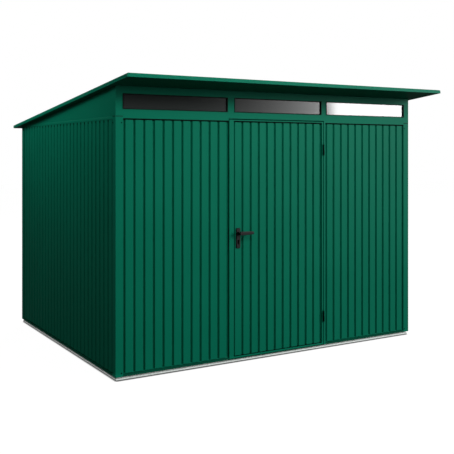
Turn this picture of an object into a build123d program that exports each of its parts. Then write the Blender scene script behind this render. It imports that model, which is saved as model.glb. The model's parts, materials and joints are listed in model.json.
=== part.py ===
from build123d import *
import os
from math import cos, radians, sin, tan

# Metal storage shed: ribbed steel walls in folded posts and rails on a galvanised base frame,
# three windows above the door, and one roof slope that falls to the back.
# Origin on the ground under the middle of the roof, +X to the right along the front, +Y to the back.

os.makedirs("parts", exist_ok=True)

# Plan of the walls, measured on their outer faces
corner_width = 60.0
left_panel_width = 917.0
door_opening_width = 963.0
hinge_post_width = 17.0
right_panel_width = 914.0
wall_depth = 2395.0

# Heights, from the ground up
base_height = 31.0
sill_height = 25.0
sill_slot = 8.0
panel_height = 1889.0
cap_slot = 8.0
cap_face = 17.0
header_height = 54.0
window_height = 111.0
top_rail_height = 59.0
back_rail_height = 30.0

# Roof
roof_pitch = 5.75
front_overhang = 349.0
back_overhang = 109.0
side_overhang = 56.0
fascia_height = 30.0
fascia_round = 10.0
fascia_top_lip = 14.0
fascia_bottom_lip = 30.0
roof_pan_count = 5
seam_clearance = 1.3
seam_gap = 1.0
seam_cap_drop = 10.0
purlin_height = 60.0
purlin_width = 30.0
purlin_shares = (0.3, 0.6)

# Sheet steel: ribbed and flat sheets, folded posts and rails, base frame
sheet = 1.2
fold = 1.5
base_sheet = 2.0

# Ribbed sheets
rib_pitch = 82.0
side_panels = 3
back_panels = 3
land_inset = 3.0
groove_width = 23.0
groove_floor = 9.0
groove_depth = 11.0
panel_edge = 9.0
jamb_edge = 15.5
panel_seam = 0.5

# Posts, rails and base frame
post_lip = 25.0
corner_joint = 5.0
lock_post_width = 37.0
rail_depth = 40.0
sill_depth = 45.0
base_inset = 10.0
base_bevel = 14.0
base_top_flange = 50.0
base_foot = 65.0
gable_inset = 4.0
head_slope = 12.0

# Windows
lock_mullion_width = 68.0
lock_mullion_shift = 56.0
hinge_mullion_width = 56.0
hinge_mullion_shift = 30.0
pane_inset = 10.0
pane_thickness = 4.0

# Door leaf
lock_gap = 6.0
hinge_gap = 8.0
door_clearance = 8.0
door_depth = 35.0
lock_stile_width = 42.0
hinge_stile_width = 13.5
skin_lock_edge = 1.5
skin_hinge_edge = 14.5
door_rail_height = 40.0
middle_rail_drop = 60.0
stop_width = 14.0
stop_clearance = 6.0

# Lever handle and lock
handle_height = 1045.0
plate_width = 38.0
plate_length = 164.0
plate_above_axis = 41.0
plate_thickness = 8.0
plate_corner = 9.0
plate_edge = 2.0
lever_length = 110.0
lever_root_height = 31.0
lever_tip_height = 25.0
lever_bar_thickness = 12.0
lever_edge = 4.0
lever_standoff = 38.0
neck_diameter = 18.0
neck_gap = 0.3
spindle_side = 8.0
spindle_hole = 13.0
cylinder_drop = 64.0
cylinder_diameter = 17.0
cylinder_tail_width = 10.0
cylinder_tail_drop = 24.0
cylinder_stand = 2.0
cylinder_clearance = 0.2
lock_case_clearance = 3.0
lock_case_margin = 8.0

# Lift-off hinges
hinge_height = 90.0
hinge_low = 234.0
hinge_high = 1674.0
barrel_diameter = 12.0
barrel_stand = 7.0
barrel_past_edge = 0.5
pin_diameter = 7.0
pin_clearance = 0.1
pin_reach_share = 0.8
knuckle_gap = 0.5
hinge_leaf = 2.5
hinge_leaf_reach = 30.0
hinge_web = 6.0

# Places that follow from those sizes
overrun = 2 * fascia_height
opening_left = corner_width + left_panel_width
hinge_post_left = opening_left + door_opening_width
hinge_post_right = hinge_post_left + hinge_post_width
wall_length = hinge_post_right + right_panel_width + corner_width
half_length = wall_length / 2
roof_length = wall_length + 2 * side_overhang
roof_depth = front_overhang + wall_depth + back_overhang
front_y = front_overhang - roof_depth / 2
back_y = front_y + wall_depth

sill_top = base_height + sill_height
panel_top = sill_top + panel_height
cap_top = panel_top + cap_slot + cap_face
window_bottom = cap_top + header_height
window_top = window_bottom + window_height

door_left = opening_left + lock_gap
door_right = hinge_post_left - hinge_gap
door_bottom = base_height + door_clearance
door_top = cap_top - door_clearance
stop_depth = door_depth + stop_clearance

floor_depth = land_inset + groove_depth
floor_back = floor_depth + sheet

tilt = radians(roof_pitch)
pan_seat = fold - fascia_height
fascia_lean = fascia_height * sin(tilt)
front_seat = window_top + top_rail_height
roof_front_height = front_seat + (front_overhang - fascia_lean) * tan(tilt) - pan_seat / cos(tilt)
roof_plane = Plane(
    origin=(0, fascia_lean - roof_depth / 2, roof_front_height),
    x_dir=(1, 0, 0),
    z_dir=(0, sin(tilt), cos(tilt)),
)
roof_run = (roof_depth - fascia_lean) / cos(tilt)
wall_high = roof_front_height + overrun
roof_seat = roof_plane.offset(pan_seat)
seam_height = fascia_height - fascia_round - fold - sheet - seam_clearance

# Each wall: the corner at its left end seen from outside, the way along it and the way in
walls = {
    "front": (Vector(-half_length, front_y, 0), Vector(1, 0, 0), Vector(0, 1, 0)),
    "right": (Vector(half_length, front_y, 0), Vector(0, 1, 0), Vector(-1, 0, 0)),
    "back": (Vector(half_length, back_y, 0), Vector(-1, 0, 0), Vector(0, -1, 0)),
    "left": (Vector(-half_length, back_y, 0), Vector(0, -1, 0), Vector(1, 0, 0)),
}
wall_lengths = {"front": wall_length, "right": wall_depth, "back": wall_length, "left": wall_depth}


def plan_plane(wall, height):
    """Level plane on a wall: x along the wall, y inwards."""
    corner, along, inward = walls[wall]
    return Plane(origin=corner + Vector(0, 0, height), x_dir=along, z_dir=(0, 0, 1))


def section_plane(wall, distance):
    """Plane across a wall: x inwards, y up, facing along the wall."""
    corner, along, inward = walls[wall]
    return Plane(origin=corner + along * distance, x_dir=inward, z_dir=along)


def face_plane(wall, distance, depth, height):
    """Upright plane on a wall: x along the wall, y up, facing outwards."""
    corner, along, inward = walls[wall]
    origin = corner + along * distance + inward * depth + Vector(0, 0, height)
    return Plane(origin=origin, x_dir=along, z_dir=-inward)


def inner_plane(wall, distance, depth, height):
    """Upright plane on a wall: x along the wall, y down, facing inwards."""
    corner, along, inward = walls[wall]
    origin = corner + along * distance + inward * depth + Vector(0, 0, height)
    return Plane(origin=origin, x_dir=along, z_dir=inward)


def roof_point(across, run, rise):
    """A point given across the roof, down its slope and square to it."""
    return roof_plane.from_local_coords(Vector(across, run, rise))


def roof_seat_height(place):
    """Height of the roof's underside at a place along Y."""
    front_edge = roof_plane.origin
    return front_edge.Z - (place - front_edge.Y) * tan(tilt) + pan_seat / cos(tilt)


def moved_left(points, distance):
    """The same line moved to its left, with its corners kept sharp."""
    runs = [Vector(*end) - Vector(*start) for start, end in zip(points, points[1:])]
    normals = [Vector(-run.Y, run.X).normalized() for run in runs]
    moved = []
    for place, point in enumerate(points):
        before = normals[max(place - 1, 0)]
        after = normals[min(place, len(normals) - 1)]
        shift = (before + after) * (distance / (1 + before.dot(after)))
        moved.append((point[0] + shift.X, point[1] + shift.Y))
    return moved


def folded_strip(plane, points, thickness):
    """Section of a folded sheet whose outer side follows the points, with its thickness to the left."""
    with BuildSketch(plane) as strip:
        with BuildLine():
            Polyline(points + moved_left(points, thickness)[::-1], close=True)
        make_face()
    return strip.sketch


def channel_points(back, front, low, high):
    """Outer side of a channel with flanges at the top and bottom, open to the back."""
    return [(back, high), (front, high), (front, low), (back, low)]


def rib_count(length):
    """How many ribs of about the usual pitch fill a length."""
    return max(round(length / rib_pitch), 1)


def ribbed_points(start, lands, pitch, edge_before, edge_after):
    """Outer side of a ribbed sheet: flat lands with a groove on either side of each."""
    points = [(start, floor_depth)]
    for land in range(lands):
        left = start + edge_before + land * pitch
        right = left + pitch
        points.append((left + groove_floor / 2, floor_depth))
        points.append((left + groove_width / 2, land_inset))
        points.append((right - groove_width / 2, land_inset))
        points.append((right - groove_floor / 2, floor_depth))
    points.append((start + edge_before + lands * pitch + edge_after, floor_depth))
    return points


def ribbed_wall(wall, panels):
    """Sections of the ribbed sheets that fill a wall between its corner posts, side by side."""
    ribbed_length = wall_lengths[wall] - 2 * corner_width - 2 * panel_edge
    ribs = rib_count(ribbed_length / panels)
    pitch = ribbed_length / (panels * ribs)
    sections = []
    start = corner_width
    for panel in range(panels):
        first = panel == 0
        last = panel == panels - 1
        edge_before = panel_edge if first else -panel_seam / 2
        edge_after = panel_edge if last else -panel_seam / 2
        seat = start if first else start + panel_seam / 2
        points = ribbed_points(seat, ribs, pitch, edge_before, edge_after)
        sections.append(folded_strip(plan_plane(wall, sill_top), points, sheet))
        start = points[-1][0] + panel_seam / 2
    return sections


def save(piece, name):
    """Names a finished piece and writes it."""
    piece.part.label = name
    export_step(piece.part, f"parts/{name}.step")


# Base frame: galvanised channels set back under the walls, mitred at the corners,
# with a sloping upper edge and a foot flange inside
base_points = [
    (base_inset + base_top_flange, base_height),
    (base_inset + base_bevel, base_height),
    (base_inset, base_height - base_bevel),
    (base_inset, 0),
    (base_inset + base_foot, 0),
]
for wall, (corner, along, inward) in walls.items():
    base_profile = folded_strip(section_plane(wall, 0), base_points, base_sheet)
    far_corner = corner + along * wall_lengths[wall]
    with BuildPart() as base_rail:
        extrude(base_profile, amount=wall_lengths[wall])
        split(bisect_by=Plane(origin=corner, z_dir=along - inward), keep=Keep.TOP)
        split(bisect_by=Plane(origin=far_corner, z_dir=-along - inward), keep=Keep.TOP)
    save(base_rail, f"base_rail_{wall}")


# Sills: folded rails on the base frame that carry the wall sheets, with a shadow slot along the top.
# The front one is left out under the door.
sill_points = [
    (sill_depth, base_height),
    (sill_depth, sill_top),
    (floor_depth, sill_top),
    (floor_depth, sill_top - sill_slot),
    (0, sill_top - sill_slot),
    (0, base_height),
]
front_starts = {"left": corner_width, "right": hinge_post_right}
front_widths = {"left": left_panel_width, "right": right_panel_width}
front_sill_profiles = {}
for side, start in front_starts.items():
    front_sill_profiles[side] = folded_strip(section_plane("front", start), sill_points, fold)
with BuildPart() as sill_front:
    for side, profile in front_sill_profiles.items():
        extrude(profile, amount=front_widths[side])
save(sill_front, "sill_front")

back_sill_profile = folded_strip(section_plane("back", corner_width), sill_points, fold)
with BuildPart() as sill_back:
    extrude(back_sill_profile, amount=wall_length - 2 * corner_width)
save(sill_back, "sill_back")

side_sill_profiles = []
for wall in ("left", "right"):
    side_sill_profiles.append(folded_strip(section_plane(wall, corner_width), sill_points, fold))
with BuildPart() as sills_sides:
    for profile in side_sill_profiles:
        extrude(profile, amount=wall_depth - 2 * corner_width)
save(sills_sides, "sills_sides")

# Corner posts: lipped angles, cut off under the roof at the back and under the windows at the front
corner_points = [
    (post_lip, corner_width),
    (0, corner_width),
    (0, 0),
    (corner_width, 0),
    (corner_width, post_lip),
]
corner_names = {"front": "front_left", "right": "front_right", "back": "back_right", "left": "back_left"}
for wall, corner_name in corner_names.items():
    corner_profile = folded_strip(plan_plane(wall, base_height), corner_points, fold)
    with BuildPart() as corner_post:
        if corner_name.startswith("front"):
            extrude(corner_profile, amount=cap_top - corner_joint - base_height)
        else:
            extrude(corner_profile, amount=wall_high - base_height)
            split(bisect_by=roof_seat, keep=Keep.BOTTOM)
    save(corner_post, f"corner_post_{corner_name}")

# Corner pieces beside the windows, above a thin joint over the front corner posts
window_end_profiles = []
for wall in ("front", "right"):
    window_end_profiles.append(folded_strip(plan_plane(wall, cap_top), corner_points, fold))
with BuildPart() as window_end_posts:
    for profile in window_end_profiles:
        extrude(profile, amount=wall_high - cap_top)
    split(bisect_by=roof_seat, keep=Keep.BOTTOM)
save(window_end_posts, "window_end_posts")

# Fixed ribbed sheets on either side of the door
front_edges = {"left": jamb_edge, "right": panel_edge}
for side, start in front_starts.items():
    front_length = front_widths[side] - panel_edge - front_edges[side]
    front_ribs = rib_count(front_length)
    front_points = ribbed_points(
        start, front_ribs, front_length / front_ribs, panel_edge, front_edges[side]
    )
    front_profile = folded_strip(plan_plane("front", sill_top), front_points, sheet)
    with BuildPart() as front_panel:
        extrude(front_profile, amount=panel_height)
    save(front_panel, f"front_panel_{side}")

# Ribbed sheets of the two sides
side_profiles = {wall: ribbed_wall(wall, side_panels) for wall in ("left", "right")}
for wall, profiles in side_profiles.items():
    with BuildPart() as side_wall:
        for profile in profiles:
            extrude(profile, amount=panel_height)
        split(bisect_by=roof_seat, keep=Keep.BOTTOM)
    save(side_wall, f"wall_sheets_{wall}")

# Ribbed sheets of the back, as high as the roof leaves room for above them
back_panel_top = roof_seat_height(back_y) - back_rail_height
back_profiles = ribbed_wall("back", back_panels)
with BuildPart() as back_wall:
    for profile in back_profiles:
        extrude(profile, amount=back_panel_top - sill_top)
save(back_wall, "wall_sheets_back")

# Caps along the tops of the fixed front sheets, with a shadow slot under the face
cap_points = [
    (rail_depth, cap_top),
    (0, cap_top),
    (0, panel_top + cap_slot),
    (floor_depth, panel_top + cap_slot),
    (floor_depth, panel_top),
]
cap_profiles = {}
for side, start in front_starts.items():
    cap_profiles[side] = folded_strip(section_plane("front", start), cap_points, fold)
with BuildPart() as panel_caps_front:
    for side, profile in cap_profiles.items():
        extrude(profile, amount=front_widths[side])
save(panel_caps_front, "panel_caps_front")

# Head rails along the tops of the side sheets, with a sloping upper edge, cut off under the roof
head_points = [
    (rail_depth, cap_top),
    (gable_inset, cap_top),
    (0, cap_top - head_slope),
    (0, panel_top),
    (rail_depth, panel_top),
]
head_profiles = []
for wall in ("left", "right"):
    head_profiles.append(folded_strip(section_plane(wall, corner_width), head_points, fold))
with BuildPart() as head_rails_sides:
    for profile in head_profiles:
        extrude(profile, amount=wall_depth - 2 * corner_width)
    split(bisect_by=roof_seat, keep=Keep.BOTTOM)
save(head_rails_sides, "head_rails_sides")

# Head rail of the back
back_head_points = [(0, wall_high), (0, back_panel_top), (rail_depth, back_panel_top)]
back_head_profile = folded_strip(section_plane("back", corner_width), back_head_points, fold)
with BuildPart() as head_rail_back:
    extrude(back_head_profile, amount=wall_length - 2 * corner_width)
    split(bisect_by=roof_seat, keep=Keep.BOTTOM)
save(head_rail_back, "head_rail_back")

# Flat gable sheets between the side head rails and the roof slope
gable_profiles = []
for wall in ("left", "right"):
    with BuildSketch(plan_plane(wall, cap_top)) as gable_strip:
        with Locations((wall_depth / 2, gable_inset + sheet / 2)):
            Rectangle(wall_depth - 2 * corner_width, sheet)
    gable_profiles.append(gable_strip.sketch)
with BuildPart() as gable_sheets:
    for profile in gable_profiles:
        extrude(profile, amount=wall_high - cap_top)
    split(bisect_by=roof_seat, keep=Keep.BOTTOM)
save(gable_sheets, "gable_sheets")

# Lock post behind the edge of the left sheet and hinge post beside the right one,
# each with a stop flange behind the door
lock_post_left = opening_left - lock_post_width
lock_post_front = floor_depth + fold
lock_post_points = [
    (lock_post_left, stop_depth),
    (lock_post_left, lock_post_front),
    (opening_left, lock_post_front),
    (opening_left, stop_depth),
    (opening_left + stop_width, stop_depth),
]
lock_post_profile = folded_strip(plan_plane("front", sill_top), lock_post_points, fold)
with BuildPart() as lock_post:
    extrude(lock_post_profile, amount=cap_top - fold - sill_top)
save(lock_post, "lock_post")

hinge_post_points = [
    (hinge_post_left - stop_width, stop_depth),
    (hinge_post_left, stop_depth),
    (hinge_post_left, 0),
    (hinge_post_right, 0),
    (hinge_post_right, post_lip),
]
hinge_post_profile = folded_strip(plan_plane("front", base_height), hinge_post_points, fold)
with BuildPart() as hinge_post:
    extrude(hinge_post_profile, amount=cap_top - base_height)
save(hinge_post, "hinge_post")

# Header rail under the windows and top rail over them
front_clear = wall_length - 2 * corner_width
header_points = channel_points(rail_depth, 0, cap_top, window_bottom)
header_profile = folded_strip(section_plane("front", corner_width), header_points, fold)
with BuildPart() as header_rail:
    extrude(header_profile, amount=front_clear)
save(header_rail, "header_rail")

top_rail_points = [(0, wall_high), (0, window_top), (rail_depth, window_top)]
top_rail_profile = folded_strip(section_plane("front", corner_width), top_rail_points, fold)
with BuildPart() as window_top_rail:
    extrude(top_rail_profile, amount=front_clear)
    split(bisect_by=roof_seat, keep=Keep.BOTTOM)
save(window_top_rail, "window_top_rail")

# Mullions between the windows, above the two sides of the door
lock_mullion_right = opening_left + lock_mullion_shift
lock_mullion_left = lock_mullion_right - lock_mullion_width
hinge_mullion_left = hinge_post_left - hinge_mullion_shift
hinge_mullion_right = hinge_mullion_left + hinge_mullion_width
mullion_profiles = []
for left, right in ((lock_mullion_left, lock_mullion_right), (hinge_mullion_left, hinge_mullion_right)):
    mullion_points = [(left, post_lip), (left, 0), (right, 0), (right, post_lip)]
    mullion_profiles.append(folded_strip(plan_plane("front", window_bottom), mullion_points, fold))
with BuildPart() as window_mullions:
    for profile in mullion_profiles:
        extrude(profile, amount=window_height)
save(window_mullions, "window_mullions")

# Acrylic panes set into the openings
pane_spans = {
    "left": (corner_width, lock_mullion_left),
    "middle": (lock_mullion_right, hinge_mullion_left),
    "right": (hinge_mullion_right, wall_length - corner_width),
}
for side, (left, right) in pane_spans.items():
    with BuildPart() as window_pane:
        with BuildSketch(plan_plane("front", window_bottom)):
            with Locations(((left + right) / 2, pane_inset + pane_thickness / 2)):
                Rectangle(right - left, pane_thickness)
        extrude(amount=window_height)
    save(window_pane, f"window_pane_{side}")


# Fascias: rounded edge channels round the front and both sides of the roof, mitred at the corners
def fascia_section(plane):
    with BuildSketch(plane) as fascia:
        with BuildLine():
            Line((fascia_round + fascia_top_lip, 0), (fascia_round, 0))
            RadiusArc((fascia_round, 0), (0, -fascia_round), -fascia_round)
            Polyline((0, -fascia_round), (0, -fascia_height), (fascia_bottom_lip, -fascia_height))
            offset(amount=fold, side=Side.LEFT, kind=Kind.INTERSECTION)
        make_face()
    return fascia.sketch


roof_half = roof_length / 2
down_slope = roof_plane.y_dir
left_mitre = Plane(origin=roof_point(-roof_half, 0, 0), z_dir=Vector(1, 0, 0) - down_slope)
right_mitre = Plane(origin=roof_point(roof_half, 0, 0), z_dir=Vector(-1, 0, 0) - down_slope)

front_fascia_plane = Plane(origin=roof_point(-roof_half, 0, 0), x_dir=down_slope, z_dir=(1, 0, 0))
front_fascia_profile = fascia_section(front_fascia_plane)
with BuildPart() as fascia_front:
    extrude(front_fascia_profile, amount=roof_length)
    split(bisect_by=left_mitre, keep=Keep.TOP)
    split(bisect_by=right_mitre, keep=Keep.TOP)
save(fascia_front, "fascia_front")

left_fascia_plane = Plane(origin=roof_point(-roof_half, roof_run, 0), x_dir=(1, 0, 0), z_dir=-down_slope)
right_fascia_plane = Plane(origin=roof_point(roof_half, 0, 0), x_dir=(-1, 0, 0), z_dir=down_slope)
for side, fascia_plane, mitre in (
    ("left", left_fascia_plane, left_mitre),
    ("right", right_fascia_plane, right_mitre),
):
    side_fascia_profile = fascia_section(fascia_plane)
    with BuildPart() as fascia_side:
        extrude(side_fascia_profile, amount=roof_run)
        split(bisect_by=mitre, keep=Keep.BOTTOM)
    save(fascia_side, f"fascia_{side}")

# Drip edge along the low end of the roof, between the side fascias
drip_length = roof_length - 2 * fascia_bottom_lip
drip_plane = Plane(origin=roof_point(drip_length / 2, roof_run, 0), x_dir=-down_slope, z_dir=(-1, 0, 0))
drip_points = [(0, pan_seat + sheet), (0, -fascia_height), (fascia_bottom_lip, -fascia_height)]
drip_profile = folded_strip(drip_plane, drip_points, fold)
with BuildPart() as drip_edge:
    extrude(drip_profile, amount=drip_length)
save(drip_edge, "drip_edge")

# Roof pans with raised edges, lying on the fascias' bottom lips
pan_length = roof_run - 2 * fold
pan_plane = Plane(origin=roof_point(0, roof_run - fold, 0), x_dir=(1, 0, 0), z_dir=-down_slope)
pans_width = roof_length - 2 * fold
pan_pitch = pans_width / roof_pan_count
pan_profiles = []
for pan in range(roof_pan_count):
    left_gap = seam_gap / 2 if pan > 0 else 0
    right_gap = seam_gap / 2 if pan < roof_pan_count - 1 else 0
    left = pan * pan_pitch - pans_width / 2 + left_gap
    right = (pan + 1) * pan_pitch - pans_width / 2 - right_gap
    seam_top = pan_seat + seam_height
    pan_points = [(left, seam_top), (left, pan_seat), (right, pan_seat), (right, seam_top)]
    pan_profiles.append(folded_strip(pan_plane, pan_points, sheet))
with BuildPart() as roof_pans:
    for profile in pan_profiles:
        extrude(profile, amount=pan_length)
save(roof_pans, "roof_pans")

# Caps folded over the raised seams between the pans
seam_half = seam_gap / 2 + sheet
seam_profiles = []
for seam in range(1, roof_pan_count):
    middle = seam * pan_pitch - pans_width / 2
    seam_top = pan_seat + seam_height
    seam_foot = seam_top - seam_cap_drop
    seam_points = [
        (middle - seam_half, seam_foot),
        (middle - seam_half, seam_top),
        (middle + seam_half, seam_top),
        (middle + seam_half, seam_foot),
    ]
    seam_profiles.append(folded_strip(pan_plane, seam_points, sheet))
with BuildPart() as seam_caps:
    for profile in seam_profiles:
        extrude(profile, amount=pan_length)
save(seam_caps, "seam_caps")

# Purlins under the pans, from gable to gable
purlin_half = half_length - gable_inset - sheet
purlin_profiles = []
for purlin_share in purlin_shares:
    purlin_run = (front_overhang + purlin_share * wall_depth) / cos(tilt)
    purlin_plane = Plane(origin=roof_point(-purlin_half, purlin_run, 0), x_dir=down_slope, z_dir=(1, 0, 0))
    purlin_points = channel_points(purlin_width, 0, pan_seat - purlin_height, pan_seat)
    purlin_profiles.append(folded_strip(purlin_plane, purlin_points, fold))
with BuildPart() as roof_purlins:
    for profile in purlin_profiles:
        extrude(profile, amount=2 * purlin_half)
save(roof_purlins, "roof_purlins")

# Door skin: a ribbed sheet between the stiles, cut for the spindle and the lock
skin_left = door_left + lock_stile_width
skin_right = door_right - hinge_stile_width
skin_length = skin_right - skin_left - skin_lock_edge - skin_hinge_edge
door_ribs = rib_count(skin_length)
door_pitch = skin_length / door_ribs
door_land = door_pitch - groove_width
door_points = ribbed_points(skin_left, door_ribs, door_pitch, skin_lock_edge, skin_hinge_edge)

handle_place = skin_left + skin_lock_edge + door_pitch / 2
plate_top = handle_height + plate_above_axis
plate_bottom = plate_top - plate_length
cylinder_height = handle_height - cylinder_drop
outer_plate_face = land_inset - plate_thickness
inner_plate_face = door_depth + plate_thickness
cylinder_front = outer_plate_face - cylinder_stand
cylinder_back = inner_plate_face + cylinder_stand


def spindle_opening():
    """Round hole for the spindle, drawn in front of the door."""
    with BuildSketch(face_plane("front", handle_place, cylinder_front, handle_height)) as opening:
        Circle(spindle_hole / 2)
    return opening.sketch


def cylinder_outline(clearance):
    """Outline of the lock cylinder: a round plug over a narrow tail, drawn in front of the door."""
    with BuildSketch(face_plane("front", handle_place, cylinder_front, cylinder_height)) as outline:
        Circle(cylinder_diameter / 2 + clearance)
        with Locations((0, -cylinder_tail_drop / 2)):
            Rectangle(cylinder_tail_width + 2 * clearance, cylinder_tail_drop + 2 * clearance)
    return outline.sketch


door_cuts = [spindle_opening(), cylinder_outline(cylinder_clearance)]
door_cut_depth = cylinder_back - cylinder_front

door_profile = folded_strip(plan_plane("front", sill_top), door_points, sheet)
with BuildPart() as door_skin:
    extrude(door_profile, amount=panel_height)
    for cut in door_cuts:
        extrude(cut, amount=-door_cut_depth, mode=Mode.SUBTRACT)
save(door_skin, "door_skin")

# Door top rail, shaped like the caps beside it, and bottom rail, shaped like the sills
door_cap_points = [
    (door_depth, door_top),
    (0, door_top),
    (0, panel_top + cap_slot),
    (floor_depth, panel_top + cap_slot),
    (floor_depth, panel_top),
]
door_cap_profile = folded_strip(section_plane("front", skin_left), door_cap_points, fold)
with BuildPart() as door_top_rail:
    extrude(door_cap_profile, amount=skin_right - skin_left)
save(door_top_rail, "door_top_rail")

door_foot_points = [
    (floor_depth, sill_top),
    (floor_depth, sill_top - sill_slot),
    (0, sill_top - sill_slot),
    (0, door_bottom),
    (door_depth, door_bottom),
]
door_foot_profile = folded_strip(section_plane("front", skin_left), door_foot_points, fold)
with BuildPart() as door_bottom_rail:
    extrude(door_foot_profile, amount=skin_right - skin_left)
save(door_bottom_rail, "door_bottom_rail")

# Door stiles: channels over the full height of the leaf, broad at the lock and narrow at the hinges
stile_profiles = []
for left, right in ((door_left, skin_left), (skin_right, door_right)):
    stile_points = [(left, door_depth), (left, 0), (right, 0), (right, door_depth)]
    stile_profiles.append(folded_strip(plan_plane("front", door_bottom), stile_points, fold))
with BuildPart() as door_stiles:
    for profile in stile_profiles:
        extrude(profile, amount=door_top - door_bottom)
save(door_stiles, "door_stiles")

# Door rails: channels between the stiles, behind the skin
rail_tops = (sill_top + door_rail_height, plate_bottom - middle_rail_drop, panel_top)
rail_profiles = []
for rail_top in rail_tops:
    rail_points = channel_points(door_depth, floor_back, rail_top - door_rail_height, rail_top)
    rail_profiles.append(folded_strip(section_plane("front", skin_left), rail_points, fold))
with BuildPart() as door_rails:
    for profile in rail_profiles:
        extrude(profile, amount=skin_right - skin_left)
save(door_rails, "door_rails")

# Lock case between the skin and the inner plate
case_depth = door_depth - land_inset - sheet
lock_case_width = door_land - 2 * lock_case_clearance
with BuildPart() as lock_case:
    with BuildSketch(plan_plane("front", plate_bottom + lock_case_margin)):
        with Locations((handle_place, door_depth - case_depth / 2)):
            Rectangle(lock_case_width, case_depth)
    extrude(amount=plate_length - 2 * lock_case_margin)
    for cut in door_cuts:
        extrude(cut, amount=-door_cut_depth, mode=Mode.SUBTRACT)
save(lock_case, "lock_case")

# Long plates behind the levers, outside and inside
plate_middle = (plate_top + plate_bottom) / 2
plate_planes = (
    face_plane("front", handle_place, land_inset, plate_middle),
    inner_plane("front", handle_place, door_depth, plate_middle),
)
with BuildPart() as lock_plates:
    for plate_plane in plate_planes:
        with BuildSketch(plate_plane):
            RectangleRounded(plate_width, plate_length, plate_corner)
        extrude(amount=plate_thickness)
    plate_faces = lock_plates.faces().sort_by(Axis.Y)
    chamfer(plate_faces[0].edges() + plate_faces[-1].edges(), length=plate_edge)
    for cut in door_cuts:
        extrude(cut, amount=-door_cut_depth, mode=Mode.SUBTRACT)
save(lock_plates, "lock_plates")

# Lock cylinder through both plates
cylinder_profile = cylinder_outline(0)
with BuildPart() as lock_cylinder:
    extrude(cylinder_profile, amount=-door_cut_depth)
save(lock_cylinder, "lock_cylinder")

# Levers on both faces and the square spindle between them
lever_planes = {
    "outside": face_plane("front", handle_place, outer_plate_face - neck_gap, handle_height),
    "inside": inner_plane("front", handle_place, inner_plate_face + neck_gap, handle_height),
}
for side, lever_plane in lever_planes.items():
    with BuildPart() as lever:
        with BuildSketch(lever_plane):
            Circle(neck_diameter / 2)
        extrude(amount=lever_standoff)
        with BuildSketch(lever_plane.offset(lever_standoff)):
            Circle(lever_root_height / 2)
            with Locations((lever_length - lever_tip_height / 2, 0)):
                Circle(lever_tip_height / 2)
            make_hull()
        extrude(amount=lever_bar_thickness)
        outer_face = lever.faces().sort_by(Axis(lever_plane.origin, lever_plane.z_dir))[-1]
        fillet(outer_face.edges(), radius=lever_edge)
    save(lever, f"lever_{side}")

with BuildPart() as lever_spindle:
    with BuildSketch(lever_planes["outside"]):
        Rectangle(spindle_side, spindle_side)
    extrude(amount=outer_plate_face - inner_plate_face - 2 * neck_gap)
save(lever_spindle, "lever_spindle")

# Lift-off hinges: the lower half with its pin stays on the post, the upper half turns with the door
axis_place = door_right + barrel_past_edge
knuckle_height = (hinge_height - knuckle_gap) / 2
pin_reach = knuckle_gap + knuckle_height * pin_reach_share
hinge_bottoms = (hinge_low, hinge_high)


def rectangle_between(left, right, front, back):
    """Rectangle in a plan sketch, given by its sides."""
    with Locations(((left + right) / 2, (front + back) / 2)):
        Rectangle(right - left, back - front)


arm_front = -barrel_stand - hinge_web / 2
arm_back = -barrel_stand + hinge_web / 2
with BuildPart() as hinge_halves_fixed:
    for bottom in hinge_bottoms:
        with BuildSketch(plan_plane("front", bottom)):
            with Locations((axis_place, -barrel_stand)):
                Circle(barrel_diameter / 2)
            rectangle_between(axis_place, hinge_post_left, arm_front, arm_back)
            rectangle_between(hinge_post_left - hinge_leaf, hinge_post_left, arm_front, hinge_leaf_reach)
        extrude(amount=knuckle_height)
        with BuildSketch(plan_plane("front", bottom + knuckle_height)):
            with Locations((axis_place, -barrel_stand)):
                Circle(pin_diameter / 2)
        extrude(amount=pin_reach)
save(hinge_halves_fixed, "hinge_halves_fixed")

with BuildPart() as hinge_halves_door:
    for bottom in hinge_bottoms:
        knuckle_bottom = bottom + knuckle_height + knuckle_gap
        with BuildSketch(plan_plane("front", knuckle_bottom)):
            with Locations((axis_place, -barrel_stand)):
                Circle(barrel_diameter / 2)
            rectangle_between(door_right, door_right + hinge_leaf, -barrel_stand, hinge_leaf_reach)
        extrude(amount=knuckle_height)
        with BuildSketch(plan_plane("front", knuckle_bottom)):
            with Locations((axis_place, -barrel_stand)):
                Circle(pin_diameter / 2 + pin_clearance)
        extrude(amount=pin_reach, mode=Mode.SUBTRACT)
save(hinge_halves_door, "hinge_halves_door")
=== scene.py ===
import json
from math import cos, radians, sin

import bpy
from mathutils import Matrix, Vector


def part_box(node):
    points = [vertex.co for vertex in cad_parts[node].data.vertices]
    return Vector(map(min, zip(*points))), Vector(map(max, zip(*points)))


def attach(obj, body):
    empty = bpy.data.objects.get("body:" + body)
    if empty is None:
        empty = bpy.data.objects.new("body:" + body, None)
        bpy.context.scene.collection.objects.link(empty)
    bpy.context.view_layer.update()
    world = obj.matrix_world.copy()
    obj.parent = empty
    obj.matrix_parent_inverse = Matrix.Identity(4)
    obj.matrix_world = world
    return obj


# A green metal storage shed, dressed around its CAD frame: finishes for every sheet and rail,
# the small fittings, a white studio with a soft key light from the right, and the camera.

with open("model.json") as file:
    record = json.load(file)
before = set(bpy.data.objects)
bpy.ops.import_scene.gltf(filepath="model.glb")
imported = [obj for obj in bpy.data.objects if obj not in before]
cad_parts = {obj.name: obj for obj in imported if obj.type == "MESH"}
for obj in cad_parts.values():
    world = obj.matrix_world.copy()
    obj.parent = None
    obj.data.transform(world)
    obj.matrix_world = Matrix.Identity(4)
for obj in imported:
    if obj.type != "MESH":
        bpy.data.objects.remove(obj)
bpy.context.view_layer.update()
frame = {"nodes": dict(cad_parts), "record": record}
nodes = frame["nodes"]

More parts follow.
